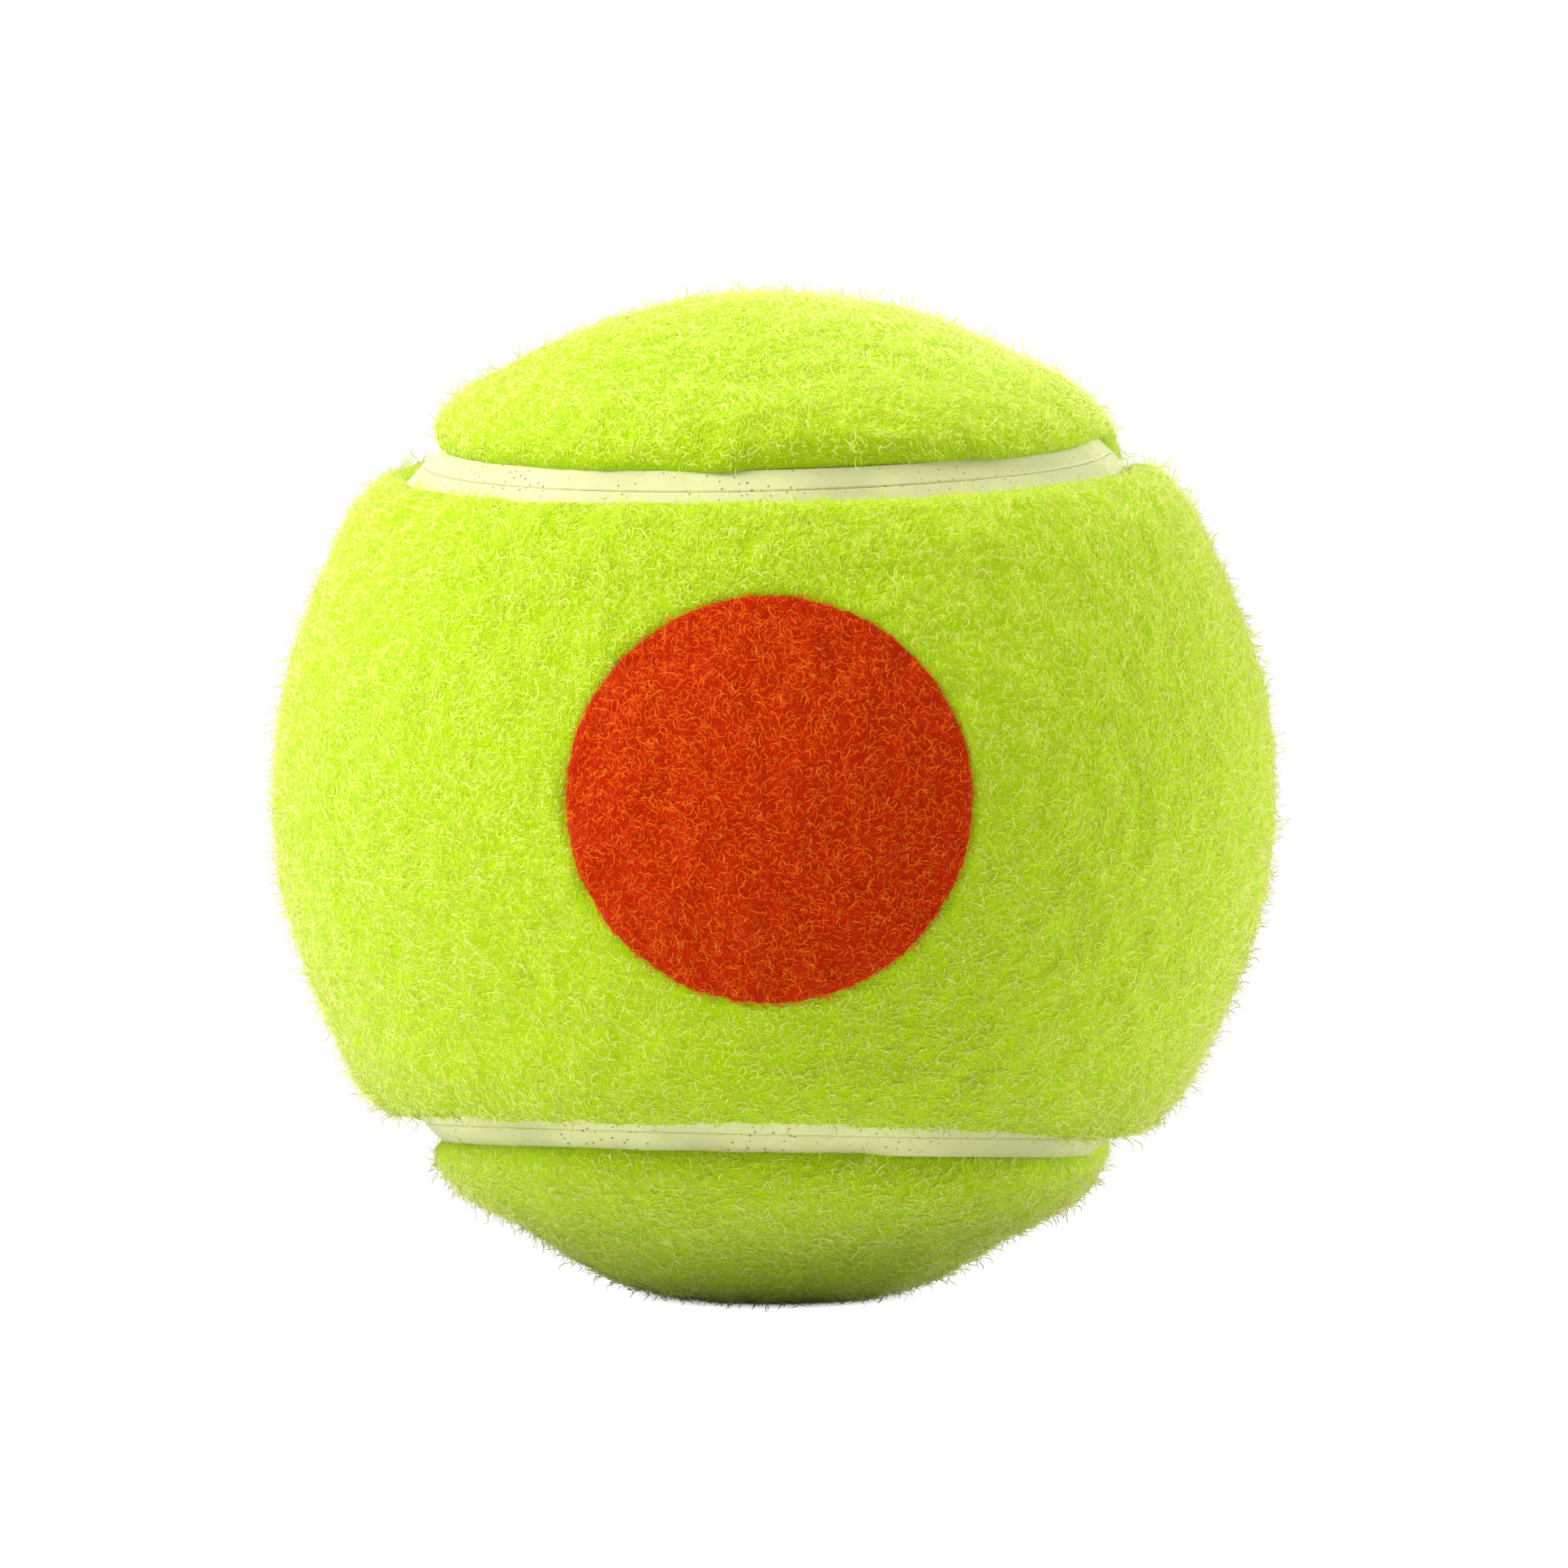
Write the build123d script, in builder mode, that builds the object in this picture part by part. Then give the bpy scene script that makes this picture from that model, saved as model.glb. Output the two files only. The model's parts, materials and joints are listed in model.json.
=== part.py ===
from build123d import *
import os
from math import acos, asin, atan, cos, degrees, sin, sqrt, tan

# Tennis ball of the low-compression kind: a hollow rubber core under two interlocking felt panels.
# Millimetres. The origin is the ball's centre and +Z is up. The front panel has its waist at -Y and
# its two lobes at +X and -X. The back panel is the same shape, with its lobes at the top and bottom.

# Whole ball, over the nap
ball_diameter = 67.0
waist_width = 46.2
rest_patch_diameter = 9.0

# Felt cover
felt_thickness = 3.3
felt_edge_radius = 1.4
backing_thickness = 0.2

# Seam between the panels
seam_width = 3.4
seam_recess = 1.7
seam_lip_radius = 0.15

# Printed dot, placed by arcs over the nap from the middle of the front panel's waist
dot_diameter = 25.0
dot_depth = 0.9
dot_side_offset = 7.9
dot_rise = 1.3

# Rubber core
core_coat_thickness = 0.15
core_wall = 2.9
rim_chamfer = 0.6
joint_film = 0.2
joint_bead_radius = 0.9

# How far a cutting tool runs past what it cuts
overrun = 1.0

# Radii of the layers, from the nap inwards
nap_radius = ball_diameter / 2
seam_radius = nap_radius - seam_recess
felt_back_radius = nap_radius - felt_thickness
coat_radius = felt_back_radius - backing_thickness
core_radius = coat_radius - core_coat_thickness
core_inner_radius = core_radius - core_wall

# The seam's middle line is four equal circles on the ball, each touching the next. A lobe's centre leans
# away from its own panel's waist by the angle that leaves the waist its width.
waist_half_angle = waist_width / 2 / nap_radius
lobe_lean = atan((sqrt(1 / 2) - sin(waist_half_angle)) / cos(waist_half_angle))
lobe_half_angle = acos(cos(lobe_lean) / sqrt(2))
seam_half_angle = asin(seam_width / 2 / seam_radius)
right_lobe = Vector(cos(lobe_lean), sin(lobe_lean), 0)
top_lobe = Vector(0, -sin(lobe_lean), cos(lobe_lean))

# Half a turn on this axis takes a front panel to the back, and its sideways lobes to the top and bottom
swap_axis = Axis((0, 0, 0), (1, 0, 1))

# The dot's middle, as a turn to the side and a lift, and its spread
dot_turn = dot_side_offset / nap_radius
dot_lift = dot_rise / nap_radius
dot_axis = Vector(cos(dot_lift) * sin(dot_turn), -cos(dot_lift) * cos(dot_turn), sin(dot_lift))
dot_half_angle = asin(dot_diameter / 2 / nap_radius)

# Height of the patch of crushed nap that the ball rests on, below the centre
rest_height = sqrt(nap_radius**2 - (rest_patch_diameter / 2) ** 2)


def centred_plane(direction):
    """Plane through the ball's centre that faces a direction."""
    return Plane((0, 0, 0), z_dir=direction)


def cone_from_centre(direction, half_angle, mode):
    """Combine the part being built with a cone whose point is the ball's centre."""
    length = nap_radius + overrun
    with Locations(centred_plane(direction)):
        Cone(0, length * tan(half_angle), length, align=(Align.CENTER, Align.CENTER, Align.MIN), mode=mode)


def hollow_ball(inner_radius, outer_radius):
    """Spherical layer, turned so that the sphere's own closing line lies at the back."""
    with BuildPart() as layer:
        Sphere(outer_radius, rotation=(0, 0, 90))
        Sphere(inner_radius, rotation=(0, 0, 90), mode=Mode.SUBTRACT)
    return layer.part


def front_layer(inner_radius, outer_radius, margin):
    """Layer of the front panel's outline, drawn in from the seam's middle line by an angle.

    One quarter is cut and mirrored. Across the plane where two of the seam's circles touch, the waist lies
    outside the top lobe's circle and the side lobe lies inside its own.
    """
    junction = centred_plane(right_lobe.cross(top_lobe))
    with BuildPart() as quarter_ball:
        add(hollow_ball(inner_radius, outer_radius))
        split(bisect_by=Plane.YZ)
        split(bisect_by=Plane.XY)
    with BuildPart() as quarter_waist:
        add(quarter_ball.part)
        split(bisect_by=junction, keep=Keep.TOP)
        cone_from_centre(top_lobe, lobe_half_angle + margin, Mode.SUBTRACT)
    with BuildPart() as layer:
        add(quarter_ball.part)
        split(bisect_by=junction, keep=Keep.BOTTOM)
        cone_from_centre(right_lobe, lobe_half_angle - margin, Mode.INTERSECT)
        add(quarter_waist.part)
        mirror(about=Plane.XY)
        mirror(about=Plane.YZ)
    return layer.part


def outer_rim(builder):
    """Edges round the outer face of the layer being built."""
    return builder.faces().filter_by(GeomType.SPHERE).sort_by(SortBy.AREA)[-1].edges()


# Upper core half: a moulded shell with its rim half a cement film above the middle
with BuildPart() as upper_core_half:
    with BuildSketch(Plane.XZ) as core_profile:
        Circle(core_radius)
        Circle(core_inner_radius, mode=Mode.SUBTRACT)
        with Locations((0, joint_film / 2)):
            Rectangle(core_radius, core_radius, align=(Align.MIN, Align.MIN), mode=Mode.INTERSECT)
        inner_rim_corner = core_profile.vertices().group_by(Axis.Y)[0].sort_by(Axis.X)[0]
        chamfer(inner_rim_corner, rim_chamfer)
    revolve(axis=Axis.Z)

# Lower core half: the same shell turned over
with BuildPart() as lower_core_half:
    mirror(upper_core_half.part, about=Plane.XY)

# Cement between the rims, with the bead that is squeezed out into the chamfers
with BuildPart() as core_joint_cement:
    with BuildSketch(Plane.XZ):
        with Locations((core_inner_radius, 0)):
            Circle(joint_bead_radius)
            Rectangle(core_wall, joint_film, align=(Align.MIN, Align.CENTER))
        Circle(core_radius, mode=Mode.INTERSECT)
    revolve(axis=Axis.Z)
    add(upper_core_half.part, mode=Mode.SUBTRACT)
    add(lower_core_half.part, mode=Mode.SUBTRACT)

# Rubber cement coat over the whole joined core
with BuildPart() as core_cement_coat:
    add(hollow_ball(core_radius, coat_radius))

# Cement coats on the backs of the two felt panels
with BuildPart() as front_panel_backing:
    add(front_layer(coat_radius, felt_back_radius, seam_half_angle))
with BuildPart() as back_panel_backing:
    add(front_panel_backing.part.rotate(swap_axis, 180))

# Dyed nap of the printed dot
with BuildPart() as printed_dot:
    add(hollow_ball(nap_radius - dot_depth, nap_radius))
    cone_from_centre(dot_axis, dot_half_angle, Mode.INTERSECT)

# One felt panel as it is cut, its outer edge rounded over by the raised nap
with BuildPart() as felt_blank:
    add(front_layer(felt_back_radius, nap_radius, seam_half_angle))
    fillet(outer_rim(felt_blank), felt_edge_radius)

# Front felt panel, with the dot let into its waist
with BuildPart() as front_felt_panel:
    add(felt_blank.part)
    add(printed_dot.part, mode=Mode.SUBTRACT)

# Back felt panel, its lower lobe flat where the ball rests
with BuildPart() as back_felt_panel:
    add(felt_blank.part.rotate(swap_axis, 180))
    split(bisect_by=Plane.XY.offset(-rest_height))

# Pale rubber on the panels' cut edges, whose lips meet in a fine groove along the seam's middle line
with BuildPart() as front_seam_edge:
    add(front_layer(coat_radius, seam_radius, 0))
    fillet(outer_rim(front_seam_edge), seam_lip_radius)
    add(front_layer(core_radius, nap_radius, seam_half_angle), mode=Mode.SUBTRACT)
with BuildPart() as back_seam_edge:
    add(front_seam_edge.part.rotate(swap_axis, 180))

pieces = {
    "upper_core_half": upper_core_half,
    "lower_core_half": lower_core_half,
    "core_joint_cement": core_joint_cement,
    "core_cement_coat": core_cement_coat,
    "front_panel_backing": front_panel_backing,
    "back_panel_backing": back_panel_backing,
    "front_felt_panel": front_felt_panel,
    "back_felt_panel": back_felt_panel,
    "front_seam_edge": front_seam_edge,
    "back_seam_edge": back_seam_edge,
    "printed_dot": printed_dot,
}

os.makedirs("parts", exist_ok=True)
for name, piece in pieces.items():
    piece.part.label = name
    export_step(piece.part, f"parts/{name}.step")

print(f"Seam circles: {degrees(lobe_half_angle):.2f} degrees, leaning {degrees(lobe_lean):.2f} degrees")
print(f"Core: {2 * core_radius:.2f} mm outside, {2 * core_inner_radius:.2f} mm inside")
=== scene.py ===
import json
import math
from typing import NamedTuple

import bmesh
import bpy
from bpy.props import FloatProperty, FloatVectorProperty, PointerProperty
from mathutils import Matrix, Vector, noise

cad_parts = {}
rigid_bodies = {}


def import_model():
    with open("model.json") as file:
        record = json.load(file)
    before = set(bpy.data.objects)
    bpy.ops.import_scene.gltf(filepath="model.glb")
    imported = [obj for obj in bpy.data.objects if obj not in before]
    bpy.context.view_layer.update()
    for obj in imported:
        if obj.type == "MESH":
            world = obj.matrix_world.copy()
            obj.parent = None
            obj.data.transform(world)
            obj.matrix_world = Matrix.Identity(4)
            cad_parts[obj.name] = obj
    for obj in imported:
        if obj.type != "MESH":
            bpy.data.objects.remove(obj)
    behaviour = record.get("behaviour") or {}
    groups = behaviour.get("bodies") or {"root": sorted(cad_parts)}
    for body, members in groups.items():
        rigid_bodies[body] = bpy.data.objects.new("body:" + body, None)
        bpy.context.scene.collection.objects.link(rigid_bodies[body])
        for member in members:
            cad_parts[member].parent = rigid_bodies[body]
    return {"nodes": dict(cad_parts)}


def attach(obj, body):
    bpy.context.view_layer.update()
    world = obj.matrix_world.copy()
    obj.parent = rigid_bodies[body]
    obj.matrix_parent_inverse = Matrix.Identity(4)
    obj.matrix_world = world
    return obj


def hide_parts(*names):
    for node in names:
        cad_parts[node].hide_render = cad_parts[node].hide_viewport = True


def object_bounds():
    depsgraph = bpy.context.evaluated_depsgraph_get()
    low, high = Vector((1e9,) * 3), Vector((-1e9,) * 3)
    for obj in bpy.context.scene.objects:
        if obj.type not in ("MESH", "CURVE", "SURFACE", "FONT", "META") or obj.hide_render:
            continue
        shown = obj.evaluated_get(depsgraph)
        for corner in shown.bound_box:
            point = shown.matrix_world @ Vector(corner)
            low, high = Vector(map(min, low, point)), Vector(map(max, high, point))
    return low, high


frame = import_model()
cad_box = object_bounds()
floor_level = cad_box[0].z
mm = 0.001
degree = math.pi / 180

bl_info = {
    "name": "Felt Ball Dresser",
    "version": (1, 0, 0),
    "blender": (4, 5, 0),
    "location": "View3D > Sidebar > Felt Ball",
    "description": "Dresses the solids of a felt-covered ball with nap, rubber seam and studio stage",
    "category": "Object",
}


# Values that a user would change


def number(name, description, default, unit="NONE"):
    """A number that the sidebar shows, with a unit where it has one."""
    return FloatProperty(name=name, description=description, default=default, unit=unit)


def length(name, description, default):
    """A size in metres that the sidebar shows."""
    return FloatProperty(name=name, description=description, default=default, unit="LENGTH", precision=5)


def turn(name, description, degrees):
    """An angle that the sidebar shows."""
    return number(name, description, math.radians(degrees), "ROTATION")


def tint(name, description, default):
    """A linear colour."""
    return FloatVectorProperty(
        name=name, description=description, default=default, size=3, min=0, max=1, subtype="COLOR"
    )


class BallShape(bpy.types.PropertyGroup):
    """Sizes that the dressed pieces share with the solids."""

    nap_radius: length("Nap radius", "Radius over the nap", (cad_box[1].x - cad_box[0].x) / 2)
    felt_thickness: length("Felt thickness", "From the backing to the nap", 0.0033)
    waist_width: length("Waist width", "Arc over a panel's narrow middle", 0.0462)
    seam_width: length("Seam width", "Between the two felt edges", 0.0034)
    dot_diameter: length("Dot diameter", "Across the printed dot", 0.025)
    dot_turn: turn("Dot turn", "Dot's place round the ball from the waist's middle", 13.51)
    dot_lift: turn("Dot lift", "Dot's place above the waist's middle", 2.22)
    dot_spread: length("Dot spread", "How far the dye runs past the dot's rim", 0.00045)


class FeltMake(bpy.types.PropertyGroup):
    """How the felt swells and how its nap is raised."""

    voxel: length("Voxel", "Size of the remeshed felt's faces", 0.00055)
    nap_height: length("Nap height", "Depth of loose fibres over the matted felt", 0.0005)
    edge_swell: length("Edge swell", "How much fuller the felt is beside the seam", 0.00045)
    edge_bulge: length("Edge bulge", "How far the felt's edge leans over the seam", 0.00005)
    edge_wander: length("Edge wander", "Unevenness of the cut edge", 0.00022)
    lump_height: length("Lump height", "Unevenness of the matted felt", 0.00022)
    rest_swell: length("Rest swell", "How much fuller the felt is where the ball rests on it", 0.0004)
    dot_sink: length("Dot sink", "How far the yellow felt sinks under the dot's felt", 0.0004)
    fibre_width: length("Fibre width", "Across one fibre", 0.000052)
    fibre_density: number("Fibre density", "Fibres to a square millimetre", 10.8)
    stray_density: number("Stray density", "Long loops to a square millimetre", 0.36)


class FeltColours(bpy.types.PropertyGroup):
    """Dyes of the felt and of the printed dot, the rubber of the seam, and painted shade and light on the
    felt and its fibres.
    """

    # The deep yellow is painted shade in the matted felt's hollows; felt yellow is the felt on its clumps.
    painted_shade_yellow: tint("Deep yellow", "Matted felt between the fibres", (0.40, 0.64, 0.003))
    felt_yellow: tint("Felt yellow", "Matted felt where it is raised", (0.55, 0.71, 0.03))
    # Fibres run from dark to pale partly at random and partly from root to tip, as painted shade at the
    # root and painted light at the tip.
    fibre_dark: tint("Dark fibre", "The least bleached fibres", (0.48, 0.72, 0.006))
    fibre_mid: tint("Middle fibre", "Most fibres", (0.69, 0.78, 0.085))
    fibre_pale: tint("Pale fibre", "The most bleached fibres", (0.95, 0.91, 0.48))
    # The stray colour is painted light: loops clear of the nap are made paler to stand for light shining
    # through thin fibres.
    stray_painted_light: tint("Stray fibre", "Bleached fibres that stand clear of the nap", (0.86, 0.92, 0.30))
    # The deep dot colour is painted shade in the dyed felt's hollows; dot red is the dyed felt on its
    # clumps.
    painted_shade_dot: tint("Deep dot", "Dyed felt between the fibres", (0.48, 0.020, 0.001))
    dot_red: tint("Dot red", "Dyed felt where it is raised", (0.64, 0.034, 0.002))
    # Dot fibres run the same way: partly at random, partly painted shade at the root and painted light at
    # the tip.
    dot_dark: tint("Dark dot fibre", "The most dyed fibres", (0.60, 0.024, 0.001))
    dot_mid: tint("Middle dot fibre", "Most dyed fibres", (0.77, 0.107, 0.004))
    dot_pale: tint("Pale dot fibre", "The least dyed fibres", (0.95, 0.33, 0.04))
    seam_rubber: tint("Seam rubber", "Rubber on the panels' cut edges", (0.70, 0.70, 0.35))


class StageLook(bpy.types.PropertyGroup):
    """Camera, light and floor."""

    azimuth: turn("Azimuth", "Camera's place round the ball", 14.0)
    elevation: turn("Elevation", "Camera's height above the horizon", 3.0)
    distance: length("Distance", "Camera to the ball's middle", 0.469)
    lens: number("Lens", "Focal length in millimetres", 162.4)
    aim_right: length("Aim right", "Aim beside the ball's middle", 0.00067)
    aim_up: length("Aim up", "Aim above the ball's middle", 0.00059)
    lamp_distance: length("Lamp distance", "Lamps to the ball's middle", 0.9)
    key_power: number("Key", "Lamp at the upper left", 9.2, "POWER")
    back_power: number("Back", "Lamp behind, high on the left", 2.5, "POWER")
    rim_power: number("Rim", "Lamp at the right, behind", 6.0, "POWER")
    fill_power: number("Fill", "Lamp near the camera", 0.45, "POWER")
    sky_level: number("Sky", "Light from the backdrop and above", 0.9)
    sky_front: number("Front sky", "Light from the camera's side", 0.06)
    floor_grey: number("Floor grey", "Share of the light that the floor returns", 0.85)
    floor_radius: length("Floor radius", "From the ball to the floor's edge", 1.5)
    shadow_inner: length("Shadow inner", "Where the ball's shadow on the floor starts to fade", 0.0065)
    shadow_outer: length("Shadow outer", "Where the floor is plain white", 0.0095)


# Places on the ball


def unit(azimuth, lift):
    """Direction from the ball's middle, turned from the front to the right and lifted."""
    flat = math.cos(lift)
    return Vector((math.sin(azimuth) * flat, -math.cos(azimuth) * flat, math.sin(lift)))


def dot_middle(shape):
    """Direction of the dot's middle."""
    return unit(shape.dot_turn, shape.dot_lift)


def dot_reach(shape):
    """Angle from the dot's middle to where its dye ends."""
    return math.asin((shape.dot_diameter / 2 + shape.dot_spread) / shape.nap_radius)


def smooth_step(low, high, value):
    """0 below low, 1 above high and smooth between."""
    x = min(1.0, max(0.0, (value - low) / (high - low)))
    return x * x * (3 - 2 * x)


def hump(middle, width, value):
    """Bell curve of height 1."""
    return math.exp(-(((value - middle) / width) ** 2))


class SeamLine:
    """The seam's middle line: four equal circles on the ball, each touching the next."""

    def __init__(self, shape):
        self.radius = shape.nap_radius
        waist = shape.waist_width / 2 / shape.nap_radius
        lean = math.atan((math.sqrt(0.5) - math.sin(waist)) / math.cos(waist))
        self.half_angle = math.acos(math.cos(lean) / math.sqrt(2))
        self.side_lobe = Vector((math.cos(lean), math.sin(lean), 0))
        self.top_lobe = Vector((0, -math.sin(lean), math.cos(lean)))
        self.junction = self.side_lobe.cross(self.top_lobe)

    def reach(self, point):
        """Arc from the seam, above zero on the front panel, and the way over the ball to the back panel."""
        folded = Vector((abs(point.x), point.y, abs(point.z))).normalized()
        on_waist = folded.dot(self.junction) > 0
        lobe = self.top_lobe if on_waist else self.side_lobe
        beyond = folded.angle(lobe) - self.half_angle
        way = (lobe - folded * folded.dot(lobe)).normalized()
        if not on_waist:
            beyond = -beyond
            way = -way
        way.x = math.copysign(1, point.x) * way.x
        way.z = math.copysign(1, point.z) * way.z
        return beyond * self.radius, way


# Meshes and objects


def new_object(name, mesh):
    """Link a mesh to the scene under a name."""
    obj = bpy.data.objects.new(name, mesh)
    bpy.context.scene.collection.objects.link(obj)
    return obj


def evaluated_mesh(obj, name):
    """Mesh of an object with its modifiers applied."""
    bpy.context.view_layer.update()
    graph = bpy.context.evaluated_depsgraph_get()
    mesh = bpy.data.meshes.new_from_object(
        obj.evaluated_get(graph), preserve_all_data_layers=True, depsgraph=graph
    )
    mesh.name = name
    return mesh


def remeshed_copy(name, nodes, voxel):
    """One closed felt mesh of even faces from copies of CAD nodes."""
    bm = bmesh.new()
    for cad_node in nodes:
        bm.from_mesh(frame["nodes"][cad_node].data)
    bmesh.ops.remove_doubles(bm, verts=bm.verts, dist=1e-6)
    mesh = bpy.data.meshes.new(name)
    bm.to_mesh(mesh)
    bm.free()
    rough = new_object(name + "_rough", mesh)
    remesh = rough.modifiers.new("Even faces", "REMESH")
    remesh.mode = "VOXEL"
    remesh.voxel_size = voxel
    made = evaluated_mesh(rough, name)
    bpy.data.objects.remove(rough)
    made.materials.clear()
    return made


def finish_piece(obj, slot, *materials):
    """Give a piece its materials and its place on the body. The slot is not used."""
    for material in materials:
        obj.data.materials.append(material)
    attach(obj, "root")


def dress_nodes(material, *names):
    """Give CAD nodes a material."""
    for name in names:
        slots = frame["nodes"][name].data.materials
        slots.clear()
        slots.append(material)


# Nodes


def node(tree, kind, inputs=(), **settings):
    """Add a node, with settings, and with values or links for its inputs."""
    made = tree.nodes.new(kind)
    for key, value in settings.items():
        setattr(made, key, value)
    for key, value in dict(inputs).items():
        socket = made.inputs[key]
        if isinstance(value, bpy.types.NodeSocket):
            tree.links.new(value, socket)
        else:
            socket.default_value = value
    return made


def calc(tree, operation, *values):
    """Result of a maths node on numbers or links."""
    return node(tree, "ShaderNodeMath", dict(enumerate(values)), operation=operation).outputs[0]


def ramp(tree, factor, *stops):
    """Colour ramp through (place, colour) stops."""
    made = node(tree, "ShaderNodeValToRGB", {"Fac": factor})
    elements = made.color_ramp.elements
    while len(elements) < len(stops):
        elements.new(0.5)
    for element, (place, colour) in zip(elements, stops):
        element.position = place
        element.color = (*colour, 1)
    return made.outputs["Color"]


def plain_noise(tree, place, scale, detail):
    """Noise at a place."""
    inputs = {"Vector": place, "Scale": scale, "Detail": detail}
    return node(tree, "ShaderNodeTexNoise", inputs).outputs["Fac"]


def object_noise(tree, scale, detail, stretch=(1, 1, 1)):
    """Noise in the ball's own space."""
    place = node(tree, "ShaderNodeTexCoord").outputs["Object"]
    mapped = node(tree, "ShaderNodeMapping", {"Vector": place, "Scale": stretch}).outputs["Vector"]
    return plain_noise(tree, mapped, scale, detail)


def seen_ray(tree):
    """1 where the camera sees a surface, directly or in gloss or glass."""
    path = node(tree, "ShaderNodeLightPath").outputs
    mirrored = calc(tree, "MAXIMUM", path["Is Camera Ray"], path["Is Glossy Ray"])
    return calc(tree, "MAXIMUM", mirrored, path["Is Transmission Ray"])


# Materials


def new_material(name):
    """New material, its node tree and its Principled shader."""
    material = bpy.data.materials.new(name)
    material.use_nodes = True
    tree = material.node_tree
    return material, tree, tree.nodes["Principled BSDF"]


def set_constants(shader, constants):
    """Set what is the same all over a surface on the shader's own sockets."""
    for name, value in constants.items():
        shader.inputs[name].default_value = value


def set_surface(tree, shader, colour, height, depth):
    """Link a colour to the shader, and bump of a depth in metres from a height."""
    tree.links.new(colour, shader.inputs["Base Color"])
    bump = node(tree, "ShaderNodeBump", {"Height": height, "Distance": depth, "Strength": 1.0})
    tree.links.new(bump.outputs["Normal"], shader.inputs["Normal"])


def felt_material(name, hollow_painted_shade, raised, sheen):
    """Matted felt with fine crossing fibres: painted shade darkens the hollows between the clumps, which
    are paler.
    """
    material, tree, shader = new_material(name)
    clumps = object_noise(tree, scale=900, detail=4)
    strands = object_noise(tree, scale=2600, detail=2, stretch=(1, 1, 3))
    crossing = object_noise(tree, scale=2600, detail=2, stretch=(3, 1, 1))
    height = calc(tree, "MULTIPLY", clumps, calc(tree, "MAXIMUM", strands, crossing))
    # Painted shade: the lower the felt, the darker its colour.
    colour = ramp(tree, height, (0.18, hollow_painted_shade), (0.45, raised))
    set_surface(tree, shader, colour, height, depth=0.0006)
    set_constants(shader, {"Roughness": 0.9, "Specular IOR Level": 0.0})
    set_constants(shader, {"Sheen Weight": sheen, "Sheen Roughness": 0.4})
    return material


def fibre_material(name, dark, mid, pale, sheen):
    """Single fibres: each has its own shade at random, darkened at the root by painted shade and paled at
    the tip by painted light.
    """
    material, tree, shader = new_material(name)
    place = node(tree, "ShaderNodeUVMap", uv_map="OFBake").outputs["UV"]
    own, along, _ = node(tree, "ShaderNodeSeparateXYZ", {"Vector": place}).outputs
    # This share of a fibre's colour is painted shade at its root and painted light at its tip; the rest is
    # its own random shade.
    painted_tip_light_share = 0.6
    shade = calc(tree, "MULTIPLY_ADD", own, 1 - painted_tip_light_share, calc(tree, "MULTIPLY", along, painted_tip_light_share))
    colour = ramp(tree, shade, (0.0, dark), (0.5, mid), (1.0, pale))
    tree.links.new(colour, shader.inputs["Base Color"])
    set_constants(shader, {"Roughness": 0.6, "Specular IOR Level": 0.0})
    set_constants(shader, {"Sheen Weight": sheen, "Sheen Roughness": 0.36, "Sheen Tint": (*pale, 1)})
    return material


def seam_material(name, colour):
    """Pale moulded rubber with a grain, small dark pits and a little dirt."""
    material, tree, shader = new_material(name)
    place = node(tree, "ShaderNodeTexCoord").outputs["Object"]
    cells = node(tree, "ShaderNodeTexVoronoi", {"Vector": place, "Scale": 2000, "Randomness": 1})
    uneven = object_noise(tree, scale=260, detail=3)
    stain = object_noise(tree, scale=130, detail=4)
    grain = object_noise(tree, scale=1800, detail=3)
    pit_size = calc(tree, "MULTIPLY_ADD", uneven, 0.36, -0.1)
    from_pit = calc(tree, "SUBTRACT", cells.outputs["Distance"], pit_size)
    whole = ramp(tree, from_pit, (0.0, (0, 0, 0)), (0.06, (1, 1, 1)))
    dirty = tuple(0.82 * c for c in colour)
    in_pit = tuple(0.5 * c for c in colour)
    surface = ramp(tree, stain, (0.35, dirty), (0.6, colour))
    mixed = node(tree, "ShaderNodeMix", {0: whole, 6: (*in_pit, 1), 7: surface}, data_type="RGBA")
    height = calc(tree, "MULTIPLY_ADD", grain, 0.3, whole)
    set_surface(tree, shader, mixed.outputs[2], height, depth=0.00012)
    set_constants(shader, {"Roughness": 0.6, "Specular IOR Level": 0.4})
    return material


def rubber_material(name, dark, light, scale, roughness):
    """Moulded rubber or dried cement, mottled by what is mixed into it."""
    material, tree, shader = new_material(name)
    mottle = object_noise(tree, scale, detail=5)
    colour = ramp(tree, mottle, (0.35, dark), (0.65, light))
    set_surface(tree, shader, colour, mottle, depth=0.0002)
    worn = calc(tree, "MULTIPLY_ADD", mottle, 0.3, roughness)
    tree.links.new(worn, shader.inputs["Roughness"])
    return material


# Felt


# How far the felt's edges lap over the seam: degrees round from the waist's middle, and millimetres
TOP_EDGE_LAPS = (
    (-110, 0.0),
    (-78, -0.4),
    (-55, 0.1),
    (-15, 0.15),
    (-4, -0.1),
    (6, 0.35),
    (12, -0.35),
    (31, -0.4),
    (42, 0.0),
    (55, 0.6),
    (66, 0.8),
    (100, 0.9),
    (140, 0.1),
)
BOTTOM_EDGE_LAPS = ((-60, 0.1), (14, 0.15), (26, 0.4), (38, -0.3), (52, -0.35), (75, 0.1))
WAIST_TOP_LAPS = ((-70, 0.1), (-40, 0.3), (0, 0.5), (17, 0.6), (31, 0.35), (45, 0.2), (60, 0.25), (90, 0.1))
WAIST_BOTTOM_LAPS = (
    (-80, 0.1),
    (-40, 0.45),
    (-4, 0.55),
    (15, 0.2),
    (30, 0.35),
    (46, 0.7),
    (62, 1.1),
    (75, 1.1),
    (105, 0.1),
)
USUAL_LAP = 0.1

# Where the felt is moved, in metres: not at its back, and fully at its face
STILL_BACK = 0.0006
MOVED_FACE = 0.0002

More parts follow.
